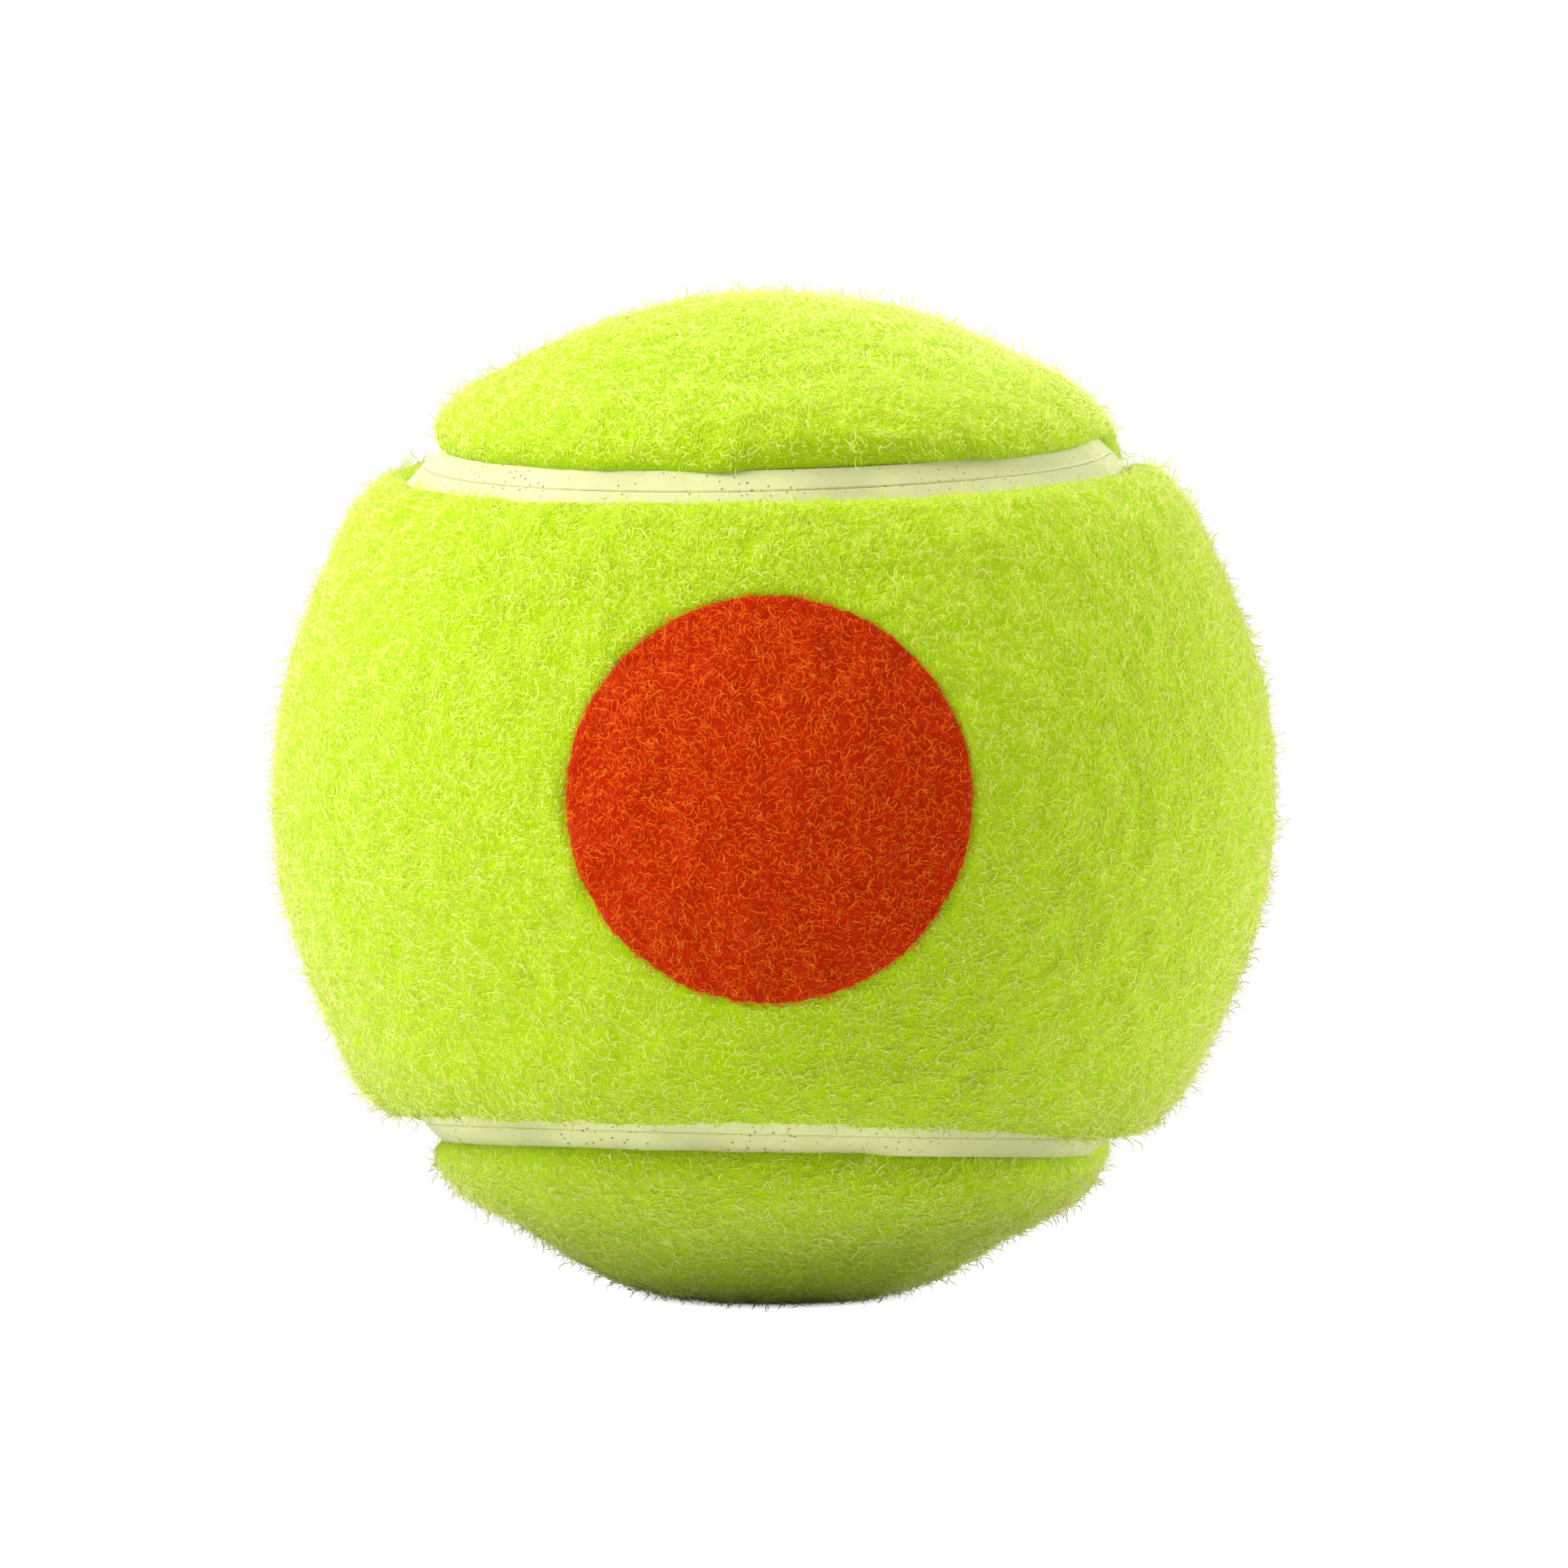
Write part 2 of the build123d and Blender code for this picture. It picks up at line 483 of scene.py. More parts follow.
# Bands along the seam, in metres: the ragged edge, and the fuller felt beside it
EDGE_BAND = 0.0016
SWELL_MIDDLE = 0.0052
SWELL_BAND = 0.0032

# How often the felt is uneven, to a metre, and the share of the fine fraying in the edge's wander
WANDER_SCALE = 260
FRAY_SCALE = 700
FRAY_SHARE = 0.6
LUMP_SCALE = 420

# Height on the ball, as a share of its radius, where the felt starts to be pressed and is fully pressed
PRESS_START_SHARE = -0.86
PRESS_END_SHARE = -0.97

# The hollow under the dot: its rim, in radians outside and inside the dye's end, and its depth in metres
HOLLOW_OUTSIDE = 0.012
HOLLOW_INSIDE = 0.006
HOLLOW_BOTTOM = 0.002
HOLLOW_TOP = 0.001


def edge_lap(point, panel):
    """How far a panel's edge laps over the seam at a point, in millimetres."""
    azimuth = math.degrees(math.atan2(point.x, -point.y))
    if panel < 0:
        laps = TOP_EDGE_LAPS if point.z > 0 else BOTTOM_EDGE_LAPS
    else:
        laps = WAIST_TOP_LAPS if point.z > 0 else WAIST_BOTTOM_LAPS
    for (low, start), (high, end) in zip(laps, laps[1:]):
        if low <= azimuth < high:
            return start + (end - start) * smooth_step(low, high, azimuth)
    return USUAL_LAP


def shape_felt(mesh, shape, felt, panel):
    """Sculpt a remeshed felt piece: sunk under its nap, fuller beside the seam, lumpy and ragged.

    The panel is 1 for the front one, which the dot is part of, and -1 for the back one.
    """
    seam = SeamLine(shape)
    still = shape.nap_radius - shape.felt_thickness + STILL_BACK
    moved = shape.nap_radius - MOVED_FACE
    for vertex in mesh.vertices:
        point = vertex.co
        outward = point.normalized()
        height = smooth_step(still, moved, point.length)
        if height == 0:
            continue
        reach, way = seam.reach(point)
        inside = reach * panel
        near_edge = hump(shape.seam_width / 2, EDGE_BAND, inside)
        wander = noise.noise(point * WANDER_SCALE) + FRAY_SHARE * noise.noise(point * FRAY_SCALE)
        lap = felt.edge_bulge + edge_lap(point, panel) * mm
        sideways = near_edge * (lap + felt.edge_wander * wander)
        lumps = noise.fractal(point * LUMP_SCALE, 0.8, 2.0, 3)
        swell = felt.edge_swell * hump(SWELL_MIDDLE, SWELL_BAND, inside)
        pressed = smooth_step(PRESS_START_SHARE, PRESS_END_SHARE, outward.z)
        sunk = felt.nap_height * (1 - pressed) - felt.rest_swell * pressed
        rise = swell + felt.lump_height * lumps - sunk
        vertex.co = point + outward * rise * height + way * panel * sideways * height
    mesh.update()


def sink_under_dot(mesh, shape, felt):
    """Lower the yellow felt's face under the dot's own felt, with a soft rim."""
    middle = dot_middle(shape)
    outside = dot_reach(shape) + HOLLOW_OUTSIDE
    inside = dot_reach(shape) - HOLLOW_INSIDE
    bottom = shape.nap_radius - HOLLOW_BOTTOM
    top = shape.nap_radius - HOLLOW_TOP
    for vertex in mesh.vertices:
        sunk = felt.dot_sink * smooth_step(outside, inside, vertex.co.angle(middle))
        high = smooth_step(bottom, top, vertex.co.length)
        vertex.co -= vertex.co.normalized() * sunk * high


def spread_dye(mesh, shape):
    """Widen the dot's felt to where its dye ends."""
    middle = dot_middle(shape)
    spread = 2 * shape.dot_spread / shape.dot_diameter
    for vertex in mesh.vertices:
        level = vertex.co.length
        sideways = vertex.co - middle * vertex.co.dot(middle)
        vertex.co = (vertex.co + sideways * spread).normalized() * level


def rest_on_floor(mesh):
    """Press a mesh flat where it would go through the floor."""
    for vertex in mesh.vertices:
        vertex.co.z = max(vertex.co.z, floor_level)


# Single fibres


# Fibre shapes: lift in degrees, then bends of (degrees, millimetres, degrees of roll, steps)
SHORT_KINDS = (
    (26, ((60, 0.45, 90, 2),)),
    (36, ((80, 0.36, -80, 2),)),
    (20, ((45, 0.75, -90, 2),)),
    (42, ((90, 0.34, 60, 2),)),
    (30, ((110, 0.32, 105, 3),)),
)
CURL_KINDS = (
    (40, ((130, 0.32, -75, 3),)),
    (22, ((75, 0.62, -88, 3),)),
    (32, ((60, 0.45, 80, 1), (100, 0.38, -160, 2))),
    (28, ((190, 0.31, 85, 4),)),
    (36, ((50, 0.75, 60, 1), (95, 0.45, 110, 3))),
)
STRAY_KINDS = (
    (70, ((70, 0.55, 0, 2), (270, 0.33, 60, 7))),
    (55, ((240, 0.5, 40, 7),)),
    (60, ((90, 0.5, 70, 3), (190, 0.4, 130, 5))),
    (45, ((130, 0.6, 60, 4), (160, 0.36, -120, 4))),
)

# A fibre's place on its map: clear of the map's ends, and each corner of the tube a little further across
MAP_MARGIN = 0.02
MAP_STEP = 0.006

# Range of the fibres' own shades across the map, clear of its sides
SHADE_RANGE = (0.01, 0.96)


def fibre_template(name, width, lift, bends):
    """One curled fibre, a three-sided tube spun bend by bend and drawn to a point at both ends.

    It leaves the felt at an angle, its lift. A bend is (angle, radius, roll, steps): roll turns the bend's
    side about the fibre.
    """
    bm = bmesh.new()
    marks = bm.verts.layers.float.new("along")
    turns = bm.verts.layers.float.new("around")
    chart = bm.loops.layers.uv.new("OFBake")
    ring = bmesh.ops.create_circle(bm, segments=3, radius=width / 2)["verts"]
    leaning = Matrix.Rotation(math.pi / 2 - lift, 3, "Y")
    bmesh.ops.rotate(bm, verts=ring, cent=(0, 0, 0), matrix=leaning)
    place = Vector((0, 0, -width))
    bmesh.ops.translate(bm, verts=ring, vec=place)
    rings = [ring]
    ahead = leaning @ Vector((0, 0, 1))
    side = leaning @ Vector((1, 0, 0))
    for angle, radius, roll, steps in bends:
        side = Matrix.Rotation(roll, 3, ahead) @ side
        middle = place + side * radius
        axis = ahead.cross(side)
        step = Matrix.Rotation(angle / steps, 3, axis)
        for _ in range(steps):
            loop = [e for e in bm.edges if all(v in rings[-1] for v in e.verts)]
            spun = bmesh.ops.spin(
                bm, geom=rings[-1] + loop, cent=middle, axis=axis, angle=angle / steps, steps=1
            )
            rings.append([g for g in spun["geom_last"] if isinstance(g, bmesh.types.BMVert)])
            place = middle + step @ (place - middle)
            ahead = step @ ahead
            side = step @ side
    for count, ring in enumerate(rings):
        for corner, vertex in enumerate(ring):
            vertex[marks] = MAP_MARGIN + (1 - 2 * MAP_MARGIN) * count / (len(rings) - 1)
            vertex[turns] = MAP_STEP * corner
    for ring in (rings[0], rings[-1]):
        bmesh.ops.pointmerge(bm, verts=ring, merge_co=sum((v.co for v in ring), Vector()) / 3)
    bmesh.ops.recalc_face_normals(bm, faces=bm.faces)
    bmesh.ops.triangulate(bm, faces=bm.faces)
    for face in bm.faces:
        face.smooth = True
        for corner in face.loops:
            corner[chart].uv = (corner.vert[turns], corner.vert[marks])
    mesh = bpy.data.meshes.new(name)
    bm.to_mesh(mesh)
    bm.free()
    for layer in ("along", "around"):
        mesh.attributes.remove(mesh.attributes[layer])
    return bpy.data.objects.new(name, mesh)


def fibre_templates(name, width, kinds):
    """Collection of fibre shapes that a scatter picks from."""
    templates = bpy.data.collections.new(name)
    for count, (lift, bends) in enumerate(kinds):
        scaled = [(bend * degree, radius * mm, roll * degree, steps) for bend, radius, roll, steps in bends]
        templates.objects.link(fibre_template(f"{name}_{count}", width, lift * degree, scaled))
    bpy.context.scene.collection.children.link(templates)
    return templates


def remove_templates(templates):
    """Delete fibre shapes that have been scattered."""
    for template in list(templates.objects):
        bpy.data.objects.remove(template)
    bpy.data.collections.remove(templates)


# Nap


class FibreLay(NamedTuple):
    """How fibres stand on the felt: their shapes, number to a square metre, lean, sizes and materials."""

    templates: bpy.types.Collection
    density: float
    tilt: float
    sizes: tuple
    plain: bpy.types.Material
    printed: bpy.types.Material


# How the fibres lie: patches to a metre that lie alike, how far these turn, and how far a fibre strays
FLOW_SCALE = 70.0
FLOW_TURN = 14.0
FLOW_STRAY = 1.5

# Fibres are shorter near the dot's rim, a distance in cosines, and where the nap is thin
RIM_REACH = 0.005
SHORTEST_SHARE = 0.4

# The print's ragged limit, in cosines, and how often it is uneven, to a metre
PRINT_RAGGED = 0.004
PRINT_INSET = 0.003
PRINT_SCALE = 900.0

# How far the fibres' shading is turned towards the ball's own, because light passes through thin fibres
SOFT_SHADING = 0.65


def socket_of(made, name):
    """The input of that name which the node's settings leave in use."""
    return next(s for s in made.inputs if s.name == name and s.enabled)


def random_value(tree, low, high, seed, kind="FLOAT"):
    """A different number for each fibre."""
    made = node(tree, "FunctionNodeRandomValue", data_type=kind)
    socket_of(made, "Min").default_value = low
    socket_of(made, "Max").default_value = high
    socket_of(made, "Seed").default_value = seed
    return next(s for s in made.outputs if s.enabled)


def stored_value(tree, name, kind="FLOAT"):
    """What the geometry holds under a name."""
    made = node(tree, "GeometryNodeInputNamedAttribute", {"Name": name}, data_type=kind)
    return made.outputs["Attribute"]


def store_value(tree, geometry, name, value, kind, domain):
    """Keep a value on the geometry under a name."""
    inputs = {"Geometry": geometry, "Name": name, "Value": value}
    made = node(tree, "GeometryNodeStoreNamedAttribute", inputs, data_type=kind, domain=domain)
    return made.outputs[0]


def shortened(tree, value, full):
    """A share that grows to 1 as a value goes from zero to full."""
    inputs = {"Value": value, "From Max": full, "To Min": SHORTEST_SHARE, "To Max": 1.0}
    return node(tree, "ShaderNodeMapRange", inputs).outputs[0]


def fibre_turns(tree, upright, place, tilt, seed):
    """Each fibre leans its own way, and neighbours lie roughly alike."""
    flow = plain_noise(tree, place, FLOW_SCALE, 1.0)
    stray = random_value(tree, -FLOW_STRAY, FLOW_STRAY, seed + 1)
    twist = calc(tree, "ADD", calc(tree, "MULTIPLY", flow, FLOW_TURN), stray)
    lean_x = random_value(tree, -tilt, tilt, seed + 2)
    lean_y = random_value(tree, -tilt, tilt, seed + 3)
    for euler in ({"X": lean_x, "Y": lean_y}, {"Z": twist}):
        angles = node(tree, "ShaderNodeCombineXYZ", euler).outputs[0]
        by = node(tree, "FunctionNodeEulerToRotation", {"Euler": angles}).outputs[0]
        turned = {"Rotation": upright, "Rotate By": by}
        upright = node(tree, "FunctionNodeRotateRotation", turned, rotation_space="LOCAL").outputs[0]
    return upright


def pressed_on_floor(tree, geometry, place):
    """Fibres crushed flat where the ball rests."""
    x, y, z = node(tree, "ShaderNodeSeparateXYZ", {"Vector": place}).outputs
    lowest = calc(tree, "MAXIMUM", z, floor_level)
    pressed = node(tree, "ShaderNodeCombineXYZ", {"X": x, "Y": y, "Z": lowest}).outputs[0]
    return node(tree, "GeometryNodeSetPosition", {"Geometry": geometry, "Position": pressed}).outputs[0]


def printed_dot(tree, geometry, place, toward, reach, lay):
    """Dyed material on the parts of fibres that lie inside the print's circle."""
    ragged = plain_noise(tree, place, PRINT_SCALE, 1.0)
    limit = calc(tree, "MULTIPLY_ADD", ragged, PRINT_RAGGED, reach - PRINT_INSET)
    compared = {0: toward, 1: limit}
    inside = node(tree, "FunctionNodeCompare", compared, data_type="FLOAT", operation="GREATER_THAN")
    unprinted = {"Geometry": geometry, "Material": lay.plain}
    yellow = node(tree, "GeometryNodeSetMaterial", unprinted).outputs[0]
    printed = {"Geometry": yellow, "Selection": inside.outputs[0], "Material": lay.printed}
    return node(tree, "GeometryNodeSetMaterial", printed).outputs[0]


def scatter_tree(name, lay, seed, shape):
    """Geometry nodes that stand fibres on a felt mesh, shade each one and print the dot on them."""
    tree = bpy.data.node_groups.new(name, "GeometryNodeTree")
    for way in ("INPUT", "OUTPUT"):
        tree.interface.new_socket("Geometry", in_out=way, socket_type="NodeSocketGeometry")
    felt = node(tree, "NodeGroupInput").outputs[0]
    place = node(tree, "GeometryNodeInputPosition").outputs[0]
    thick = stored_value(tree, "nap_density")
    outward = node(tree, "ShaderNodeVectorMath", {0: place}, operation="NORMALIZE").outputs[0]
    facing = {0: outward, 1: dot_middle(shape)}
    toward = node(tree, "ShaderNodeVectorMath", facing, operation="DOT_PRODUCT").outputs["Value"]
    reach = math.cos(dot_reach(shape))

    # Roots, and the size of the fibre on each
    density = calc(tree, "MULTIPLY", thick, lay.density)
    rooted = {"Mesh": felt, "Density": density, "Seed": seed}
    roots = node(tree, "GeometryNodeDistributePointsOnFaces", rooted).outputs
    from_rim = calc(tree, "ABSOLUTE", calc(tree, "SUBTRACT", toward, reach))
    share = calc(tree, "MULTIPLY", shortened(tree, from_rim, RIM_REACH), shortened(tree, thick, 1.0))
    size = calc(tree, "MULTIPLY", random_value(tree, *lay.sizes, seed + 5), share)

    # Fibres, each with its own shade
    shown = {"Collection": lay.templates, "Separate Children": True, "Reset Children": True}
    standing = {
        "Points": roots["Points"],
        "Instance": node(tree, "GeometryNodeCollectionInfo", shown).outputs[0],
        "Pick Instance": True,
        "Instance Index": random_value(tree, 0, len(lay.templates.objects) - 1, seed + 4, "INT"),
        "Rotation": fibre_turns(tree, roots["Rotation"], place, lay.tilt, seed),
        "Scale": size,
    }
    fibres = node(tree, "GeometryNodeInstanceOnPoints", standing).outputs[0]
    own_shade = random_value(tree, *SHADE_RANGE, seed + 6)
    shaded = store_value(tree, fibres, "shade", own_shade, "FLOAT", "INSTANCE")
    real = node(tree, "GeometryNodeRealizeInstances", {"Geometry": shaded}).outputs[0]

    # A fibre's shade moves its map sideways, so that the map alone gives its colour
    chart = stored_value(tree, "OFBake", "FLOAT_VECTOR")
    aside = node(tree, "ShaderNodeCombineXYZ", {"X": stored_value(tree, "shade")}).outputs[0]
    moved = node(tree, "ShaderNodeVectorMath", {0: chart, 1: aside}, operation="ADD").outputs[0]
    mapped = store_value(tree, real, "OFBake", moved, "FLOAT2", "CORNER")

    pressed = pressed_on_floor(tree, mapped, place)
    dotted = printed_dot(tree, pressed, place, toward, reach, lay)
    node(tree, "NodeGroupOutput", {0: dotted})
    return tree


def mark_nap(mesh, weigh):
    """Store on the mesh how thick the nap stands on each vertex."""
    thick = mesh.attributes.new("nap_density", "FLOAT", "POINT")
    thick.data.foreach_set("value", [weigh(v.co, v.normal) for v in mesh.vertices])


def soften_shading(mesh):
    """Turn the fibres' shading normals towards the ball's own."""
    normals = []
    for vertex in mesh.vertices:
        outward = vertex.co.normalized()
        normals.append(vertex.normal.lerp(outward, SOFT_SHADING).normalized())
    mesh.normals_split_custom_set_from_vertices(normals)


def scatter(name, base, slot, weigh, lay, seed, shape):
    """Piece of nap on a felt piece, where the weight is above zero."""
    mesh = bpy.data.objects[base].data.copy()
    mark_nap(mesh, weigh)
    carrier = new_object(name + "_roots", mesh)
    modifier = carrier.modifiers.new("Nap", "NODES")
    modifier.node_group = scatter_tree(name, lay, seed, shape)
    made = evaluated_mesh(carrier, name)
    bpy.data.objects.remove(carrier)
    bpy.data.meshes.remove(mesh)
    for layer in ("shade", "nap_density", "id"):
        if layer in made.attributes:
            made.attributes.remove(made.attributes[layer])
    soften_shading(made)
    nap = new_object(name, made)
    nap.visible_shadow = False
    finish_piece(nap, slot)


# Where the nap ends, in metres: how far below the ball's surface it stands, and over how much it thins out
NAP_DEPTH = 0.0014
NAP_FADE = 0.0004

# The same on the dot, but below the face of its felt
DOT_NAP_DEPTH = 0.0006
DOT_NAP_FADE = 0.0002

# How far the felt faces outwards, as a cosine, where its nap starts, and how much more where it is full
FACING_START = {"front_felt": 0.15, "back_felt": 0.2}
STRAY_FACING_START = 0.2
FACING_FADE = 0.35

# Long loops: their share high on the ball, and the heights, in radii, below which more and all stand
STRAY_LEAST = 0.25
STRAY_MORE_BELOW = 0.1
STRAY_ALL_BELOW = -0.6

# Pieces of nap: name, felt piece, axis and the band along it, as shares of the ball's radius
NAP_BANDS = (
    ("left_end_nap", "front_felt", 0, -2.0, -0.83),
    ("left_lobe_nap", "front_felt", 0, -0.83, -0.62),
    ("left_waist_nap", "front_felt", 0, -0.62, 0.0),
    ("right_waist_nap", "front_felt", 0, 0.0, 0.62),
    ("right_lobe_nap", "front_felt", 0, 0.62, 0.83),
    ("right_end_nap", "front_felt", 0, 0.83, 2.0),
    ("bottom_end_nap", "back_felt", 2, -2.0, -0.83),
    ("bottom_lobe_nap", "back_felt", 2, -0.83, -0.62),
    ("lower_back_nap", "back_felt", 2, -0.62, 0.0),
    ("upper_back_nap", "back_felt", 2, 0.0, 0.62),
    ("top_lobe_nap", "back_felt", 2, 0.62, 0.83),
    ("top_end_nap", "back_felt", 2, 0.83, 2.0),
)

# Shares of the usual: fibres on the dot, and a long loop's width
DOT_CROWDING = 1.5
STRAY_WIDTH = 0.6

# Seeds: each piece has its own run of numbers
SEED_STEP = 20
DOT_SEED = 320
STRAY_SEED = 340


def band_marks(shape, axis, low, high, start):
    """How the nap stands on a band of a panel: on its outer face, hardly on its edge, not on the dot."""
    outer = shape.nap_radius - NAP_DEPTH
    middle = dot_middle(shape)
    reach = dot_reach(shape)

    def weigh(point, normal):
        outward = point.normalized()
        if not low <= outward[axis] < high or outward.angle(middle) < reach:
            return 0
        facing = smooth_step(start, start + FACING_FADE, outward.dot(normal))
        return facing * smooth_step(outer - NAP_FADE, outer, point.length)

    return weigh


def dot_marks(shape, felt):
    """The dot's nap stands on the outer face of its felt."""
    lowest = shape.nap_radius - felt.nap_height - DOT_NAP_DEPTH

    def weigh(point, normal):
        return smooth_step(lowest, lowest + DOT_NAP_FADE, point.length)

    return weigh


def stray_marks(shape):
    """Long loops stand all over a panel, mostly on the ball's lower half."""
    weigh = band_marks(shape, 0, -2.0, 2.0, STRAY_FACING_START)

    def thin(point, normal):
        more = smooth_step(STRAY_MORE_BELOW, STRAY_ALL_BELOW, point.normalized().z)
        return weigh(point, normal) * (STRAY_LEAST + (1 - STRAY_LEAST) * more)

    return thin


# Steps


# Inner pieces: material, its dark and light colour, mottles to a metre, least roughness, and nodes
CORE_HALVES = ("upper_core_half", "lower_core_half")
BACKINGS = ("front_panel_backing", "back_panel_backing")
CORE_LOOKS = (
    ("core_rubber", (0.018, 0.018, 0.02), (0.06, 0.058, 0.055), 500, 0.5, CORE_HALVES),
    ("joint_cement", (0.25, 0.19, 0.10), (0.42, 0.34, 0.20), 700, 0.3, ("core_joint_cement",)),
    ("core_coat", (0.30, 0.26, 0.17), (0.50, 0.45, 0.32), 350, 0.35, ("core_cement_coat",)),
    ("panel_coat", (0.42, 0.40, 0.28), (0.62, 0.60, 0.44), 420, 0.4, BACKINGS),
)


class BALL_OT_dress_core(bpy.types.Operator):
    """Give the rubber core, its cements and the panels' backs their materials"""

    bl_idname = "ball.dress_core"
    bl_label = "Dress Core"

    def execute(self, context):
        for name, dark, light, scale, roughness, nodes in CORE_LOOKS:
            dress_nodes(rubber_material(name, dark, light, scale, roughness), *nodes)
        return {"FINISHED"}


class BALL_OT_dress_seam(bpy.types.Operator):
    """Give the pale rubber between the panels its material"""

    bl_idname = "ball.dress_seam"
    bl_label = "Dress Seam"

    def execute(self, context):
        material = seam_material("seam_rubber", context.scene.ball_colours.seam_rubber)
        dress_nodes(material, "front_seam_edge", "back_seam_edge")
        return {"FINISHED"}


class BALL_OT_make_felt(bpy.types.Operator):
    """Make the two felt panels and the dyed patch of the dot"""

    bl_idname = "ball.make_felt"
    bl_label = "Make Felt"

    def execute(self, context):
        scene = context.scene
        shape, felt, colours = scene.ball_shape, scene.ball_felt, scene.ball_colours
        yellow = felt_material("yellow_felt", colours.painted_shade_yellow, colours.felt_yellow, sheen=0.15)
        red = felt_material("dyed_felt", colours.painted_shade_dot, colours.dot_red, sheen=0.1)

        front = remeshed_copy("front_felt", ("front_felt_panel", "printed_dot"), felt.voxel)
        sink_under_dot(front, shape, felt)
        shape_felt(front, shape, felt, 1)
        self.finish("front_felt", front, "front_felt_panel", "yellow_felt", yellow)

        back = remeshed_copy("back_felt", ("back_felt_panel",), felt.voxel)
        shape_felt(back, shape, felt, -1)
        self.finish("back_felt", back, "back_felt_panel", "yellow_felt", yellow)

        dot = remeshed_copy("dot_felt", ("printed_dot",), felt.voxel / 2)
        spread_dye(dot, shape)
        shape_felt(dot, shape, felt, 1)
        self.finish("dot_felt", dot, "printed_dot", "dyed_felt", red)
        return {"FINISHED"}

    def finish(self, name, mesh, stands_for, slot, material):
        """Make a sculpted felt the piece that stands for a CAD node."""
        rest_on_floor(mesh)
        for face in mesh.polygons:
            face.use_smooth = True
        piece = new_object(name, mesh)
        finish_piece(piece, slot, material)
        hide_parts(stands_for)


class BALL_OT_raise_nap(bpy.types.Operator):
    """Raise the fibres of the nap on both panels and on the dot"""

    bl_idname = "ball.raise_nap"
    bl_label = "Raise Nap"

    def execute(self, context):
        scene = context.scene
        shape, felt, colours = scene.ball_shape, scene.ball_felt, scene.ball_colours
        pale, stray = colours.fibre_pale, colours.stray_painted_light
        yellow = fibre_material("yellow_fibre", colours.fibre_dark, colours.fibre_mid, pale, sheen=1.0)
        red = fibre_material("dyed_fibre", colours.dot_dark, colours.dot_mid, colours.dot_pale, sheen=0.2)
        # Stray loops run from the middle fibre colour to painted light.
        clear = fibre_material("stray_fibre", colours.fibre_mid, stray, stray, sheen=1.0)
        curls = fibre_templates("nap_curl", felt.fibre_width, 3 * SHORT_KINDS + 2 * CURL_KINDS)
        loops = fibre_templates("stray_loop", felt.fibre_width * STRAY_WIDTH, STRAY_KINDS)
        to_square_metre = 1e6 * 1
        nap = FibreLay(
            templates=curls,
            density=felt.fibre_density * to_square_metre,
            tilt=0.3,
            sizes=(0.8, 1.4),
            plain=yellow,
            printed=red,
        )
        dot_nap = nap._replace(density=DOT_CROWDING * nap.density)
        strays = FibreLay(
            templates=loops,
            density=felt.stray_density * to_square_metre,
            tilt=0.4,
            sizes=(0.7, 1.2),
            plain=clear,
            printed=red,
        )

        for count, (name, base, axis, low, high) in enumerate(NAP_BANDS):
            weigh = band_marks(shape, axis, low, high, FACING_START[base])
            scatter(name, base, "yellow_felt", weigh, nap, SEED_STEP * count, shape)
        scatter("dot_nap", "dot_felt", "dyed_felt", dot_marks(shape, felt), dot_nap, DOT_SEED, shape)
        for count, side in enumerate(("front", "back")):
            name, base = side + "_stray_fibres", side + "_felt"
            seed = STRAY_SEED + SEED_STEP * count
            scatter(name, base, "yellow_felt", stray_marks(shape), strays, seed, shape)
        remove_templates(curls)
        remove_templates(loops)
        return {"FINISHED"}


# Lamps: name, the value that holds its power, width in metres, and degrees round from the camera and up
LAMPS = (
    ("key_lamp", "key_power", 0.5, -70, 43),
    ("back_lamp", "back_power", 0.5, -150, 50),
    ("rim_lamp", "rim_power", 0.4, 112, 18),
    ("fill_lamp", "fill_power", 0.6, 8, 10),
)

# The sky's pale side: how far up it lies behind the ball, in radians, and its blurred edge, in cosines
SKY_LIFT = 0.5
SKY_BLUR = 0.6


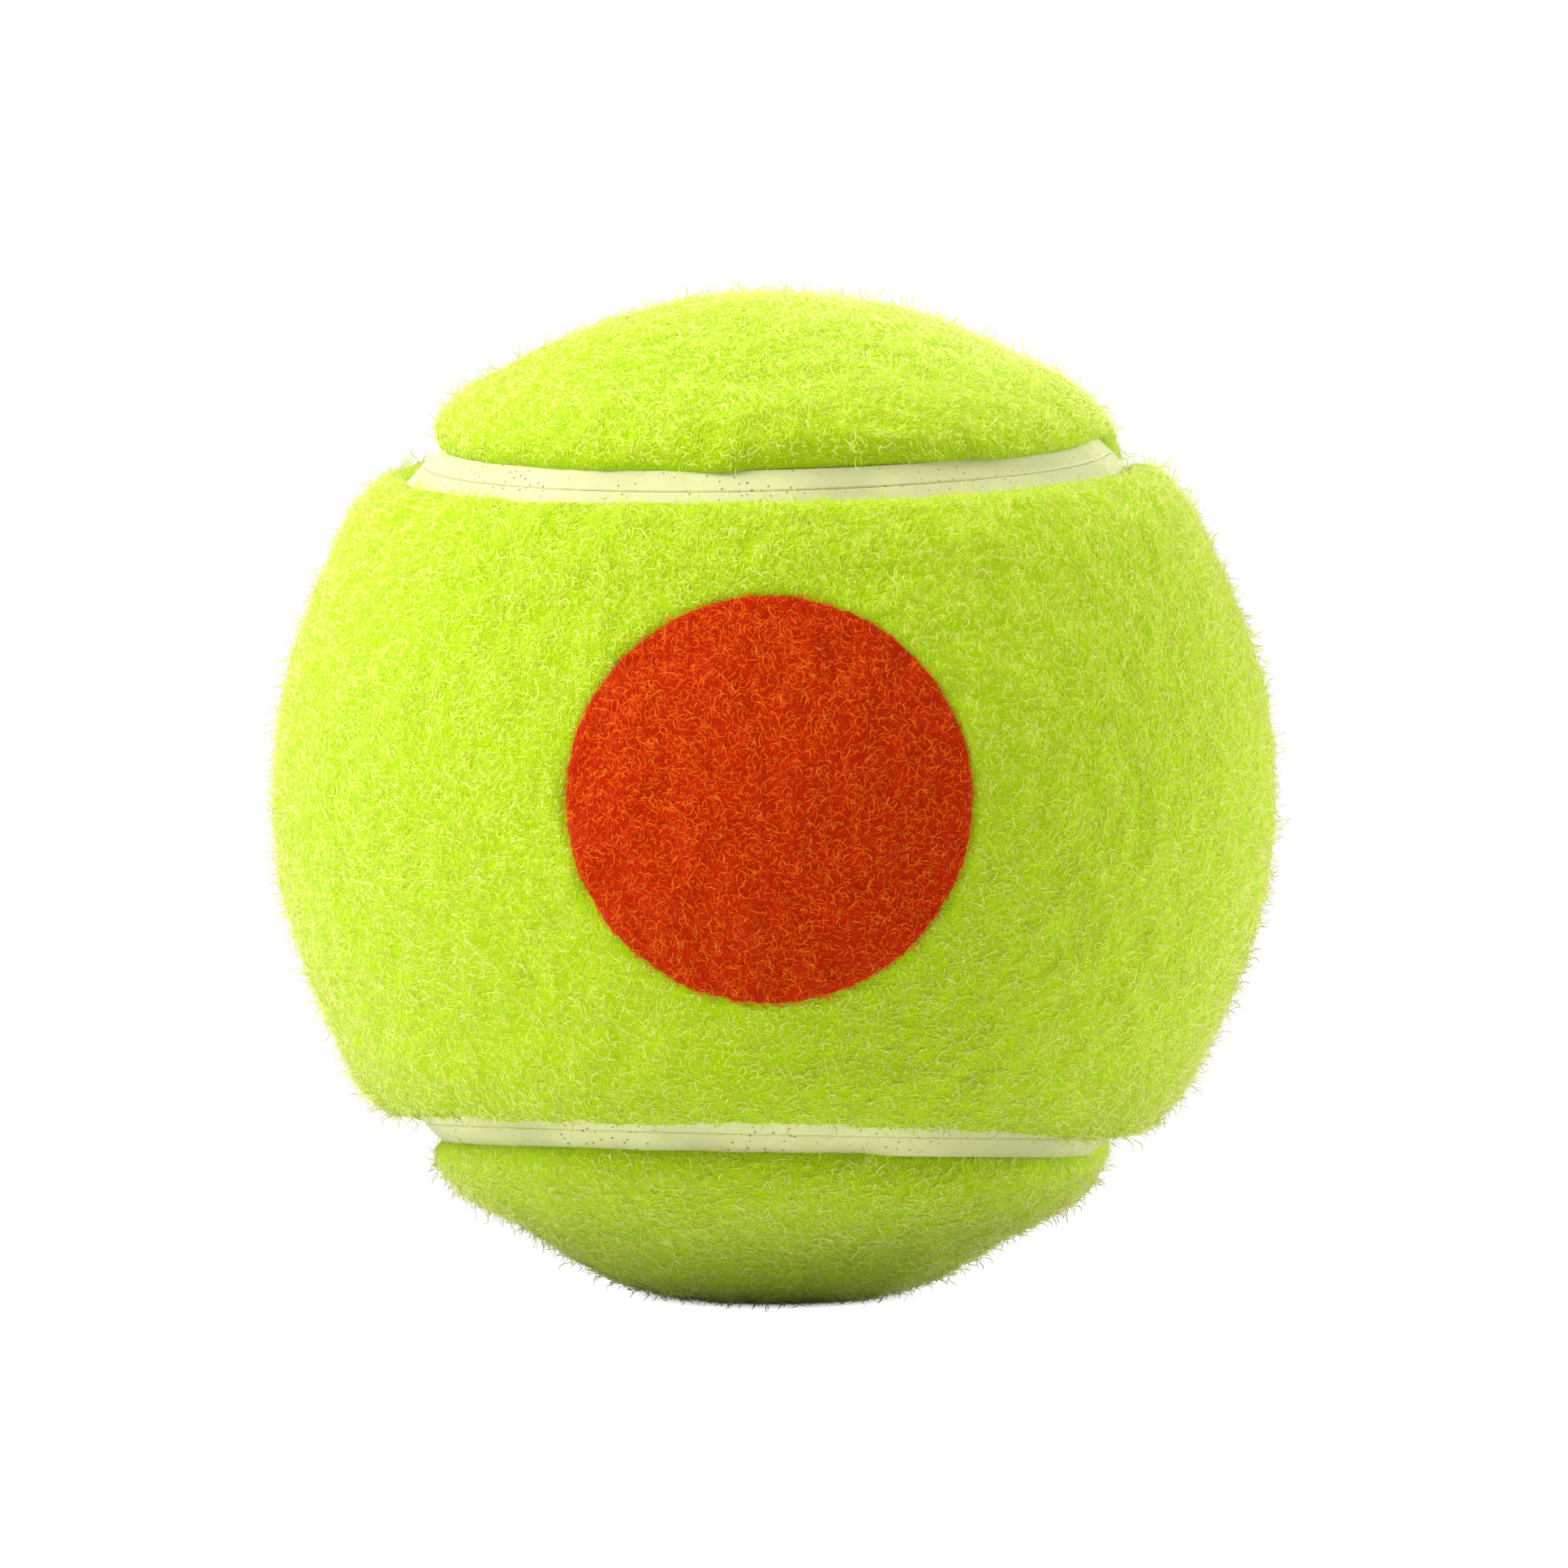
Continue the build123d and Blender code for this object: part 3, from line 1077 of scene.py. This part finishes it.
class BALL_OT_set_stage(bpy.types.Operator):
    """Set the floor, the lamps, the sky and the camera"""

    bl_idname = "ball.set_stage"
    bl_label = "Set Stage"

    def execute(self, context):
        scene = context.scene
        look = scene.ball_stage
        scene.view_settings.view_transform = "Standard"
        self.floor(look)
        self.sky(look)
        for name, power, width, side, lift in LAMPS:
            way = unit(look.azimuth + side * degree, lift * degree)
            self.lamp(name, getattr(look, power), width, way * look.lamp_distance)
        self.camera(scene, look)
        return {"FINISHED"}

    def floor(self, look):
        """Pale floor that is plain white to the camera, apart from the ball's own shadow."""
        bm = bmesh.new()
        bmesh.ops.create_circle(bm, cap_ends=True, segments=64, radius=look.floor_radius)
        bmesh.ops.translate(bm, verts=bm.verts, vec=(0, 0, floor_level))
        mesh = bpy.data.meshes.new("studio_floor")
        bm.to_mesh(mesh)
        bm.free()
        floor = new_object("studio_floor", mesh)
        material, tree, shader = new_material("pale_floor")
        grey = look.floor_grey
        set_constants(shader, {"Base Color": (grey, grey, grey, 1), "Roughness": 0.9})
        white = node(tree, "ShaderNodeEmission", {"Color": (1, 1, 1, 1), "Strength": 1.0})
        place = node(tree, "ShaderNodeTexCoord").outputs["Object"]
        flat = node(tree, "ShaderNodeVectorMath", {0: place, 1: (1, 1, 0)}, operation="MULTIPLY").outputs[0]
        away = node(tree, "ShaderNodeVectorMath", {0: flat}, operation="LENGTH").outputs["Value"]
        fade = {"Value": away, "From Min": look.shadow_inner, "From Max": look.shadow_outer}
        clear = node(tree, "ShaderNodeMapRange", fade).outputs[0]
        factor = calc(tree, "MULTIPLY", seen_ray(tree), clear)
        mixed = node(tree, "ShaderNodeMixShader", {0: factor, 1: shader.outputs[0], 2: white.outputs[0]})
        tree.links.new(mixed.outputs[0], tree.nodes["Material Output"].inputs["Surface"])
        mesh.materials.append(material)

    def sky(self, look):
        """Soft light from behind and above, which the camera sees as plain white."""
        world = bpy.data.worlds.new("studio_sky")
        world.use_nodes = True
        bpy.context.scene.world = world
        tree = world.node_tree
        tree.nodes.clear()
        way = node(tree, "ShaderNodeTexCoord").outputs["Generated"]
        pale_side = -unit(look.azimuth, -SKY_LIFT)
        depth = node(tree, "ShaderNodeVectorMath", {0: way, 1: pale_side}, operation="DOT_PRODUCT")
        blurred = {
            "Value": depth.outputs["Value"],
            "From Min": -SKY_BLUR,
            "From Max": SKY_BLUR,
            "To Min": look.sky_front,
            "To Max": look.sky_level,
        }
        level = node(tree, "ShaderNodeMapRange", blurred, interpolation_type="SMOOTHSTEP").outputs[0]
        shown = {0: seen_ray(tree), 2: level, 3: 1.0}
        strength = node(tree, "ShaderNodeMix", shown, data_type="FLOAT").outputs[0]
        back = node(tree, "ShaderNodeBackground", {"Color": (1, 1, 1, 1), "Strength": strength})
        node(tree, "ShaderNodeOutputWorld", {"Surface": back.outputs[0]})

    def lamp(self, name, power, width, place):
        """Square soft lamp that faces the ball."""
        light = bpy.data.lights.new(name, "AREA")
        light.energy = power
        light.size = width
        lamp = bpy.data.objects.new(name, light)
        lamp.location = place
        lamp.rotation_mode = "QUATERNION"
        lamp.rotation_quaternion = (-place).to_track_quat("-Z", "Y")
        bpy.context.scene.collection.objects.link(lamp)

    def camera(self, scene, look):
        """Camera at the photograph's viewing angle."""
        lens = bpy.data.cameras.new("studio_camera")
        lens.lens = look.lens
        lens.sensor_width = 36
        lens.clip_start = 0.01
        camera = bpy.data.objects.new("studio_camera", lens)
        back = unit(look.azimuth, look.elevation)
        turned = (-back).to_track_quat("-Z", "Y")
        aim = turned @ Vector((look.aim_right, look.aim_up, 0))
        camera.location = back * look.distance + aim
        camera.rotation_mode = "QUATERNION"
        camera.rotation_quaternion = turned
        scene.collection.objects.link(camera)
        scene.camera = camera


class BALL_PT_dresser(bpy.types.Panel):
    """Lists the dressing steps and their values"""

    bl_idname = "BALL_PT_dresser"
    bl_label = "Felt Ball"
    bl_space_type = "VIEW_3D"
    bl_region_type = "UI"
    bl_category = "Felt Ball"

    def draw(self, context):
        for name, kind in GROUPS.items():
            box = self.layout.box()
            for value in kind.__annotations__:
                box.prop(getattr(context.scene, name), value)
        for step in STEPS:
            self.layout.operator(step.bl_idname)


GROUPS = {
    "ball_shape": BallShape,
    "ball_felt": FeltMake,
    "ball_colours": FeltColours,
    "ball_stage": StageLook,
}
STEPS = (BALL_OT_dress_core, BALL_OT_dress_seam, BALL_OT_make_felt, BALL_OT_raise_nap, BALL_OT_set_stage)


def register():
    for name, group in GROUPS.items():
        bpy.utils.register_class(group)
        setattr(bpy.types.Scene, name, PointerProperty(type=group))
    for step in STEPS:
        bpy.utils.register_class(step)
    bpy.utils.register_class(BALL_PT_dresser)


def unregister():
    bpy.utils.unregister_class(BALL_PT_dresser)
    for step in reversed(STEPS):
        bpy.utils.unregister_class(step)
    for name, group in GROUPS.items():
        delattr(bpy.types.Scene, name)
        bpy.utils.unregister_class(group)


def main():
    """Dress the ball and set the stage."""
    register()
    bpy.ops.ball.dress_core()
    bpy.ops.ball.dress_seam()
    bpy.ops.ball.make_felt()
    bpy.ops.ball.raise_nap()
    bpy.ops.ball.set_stage()


if __name__ == "__main__":
    main()
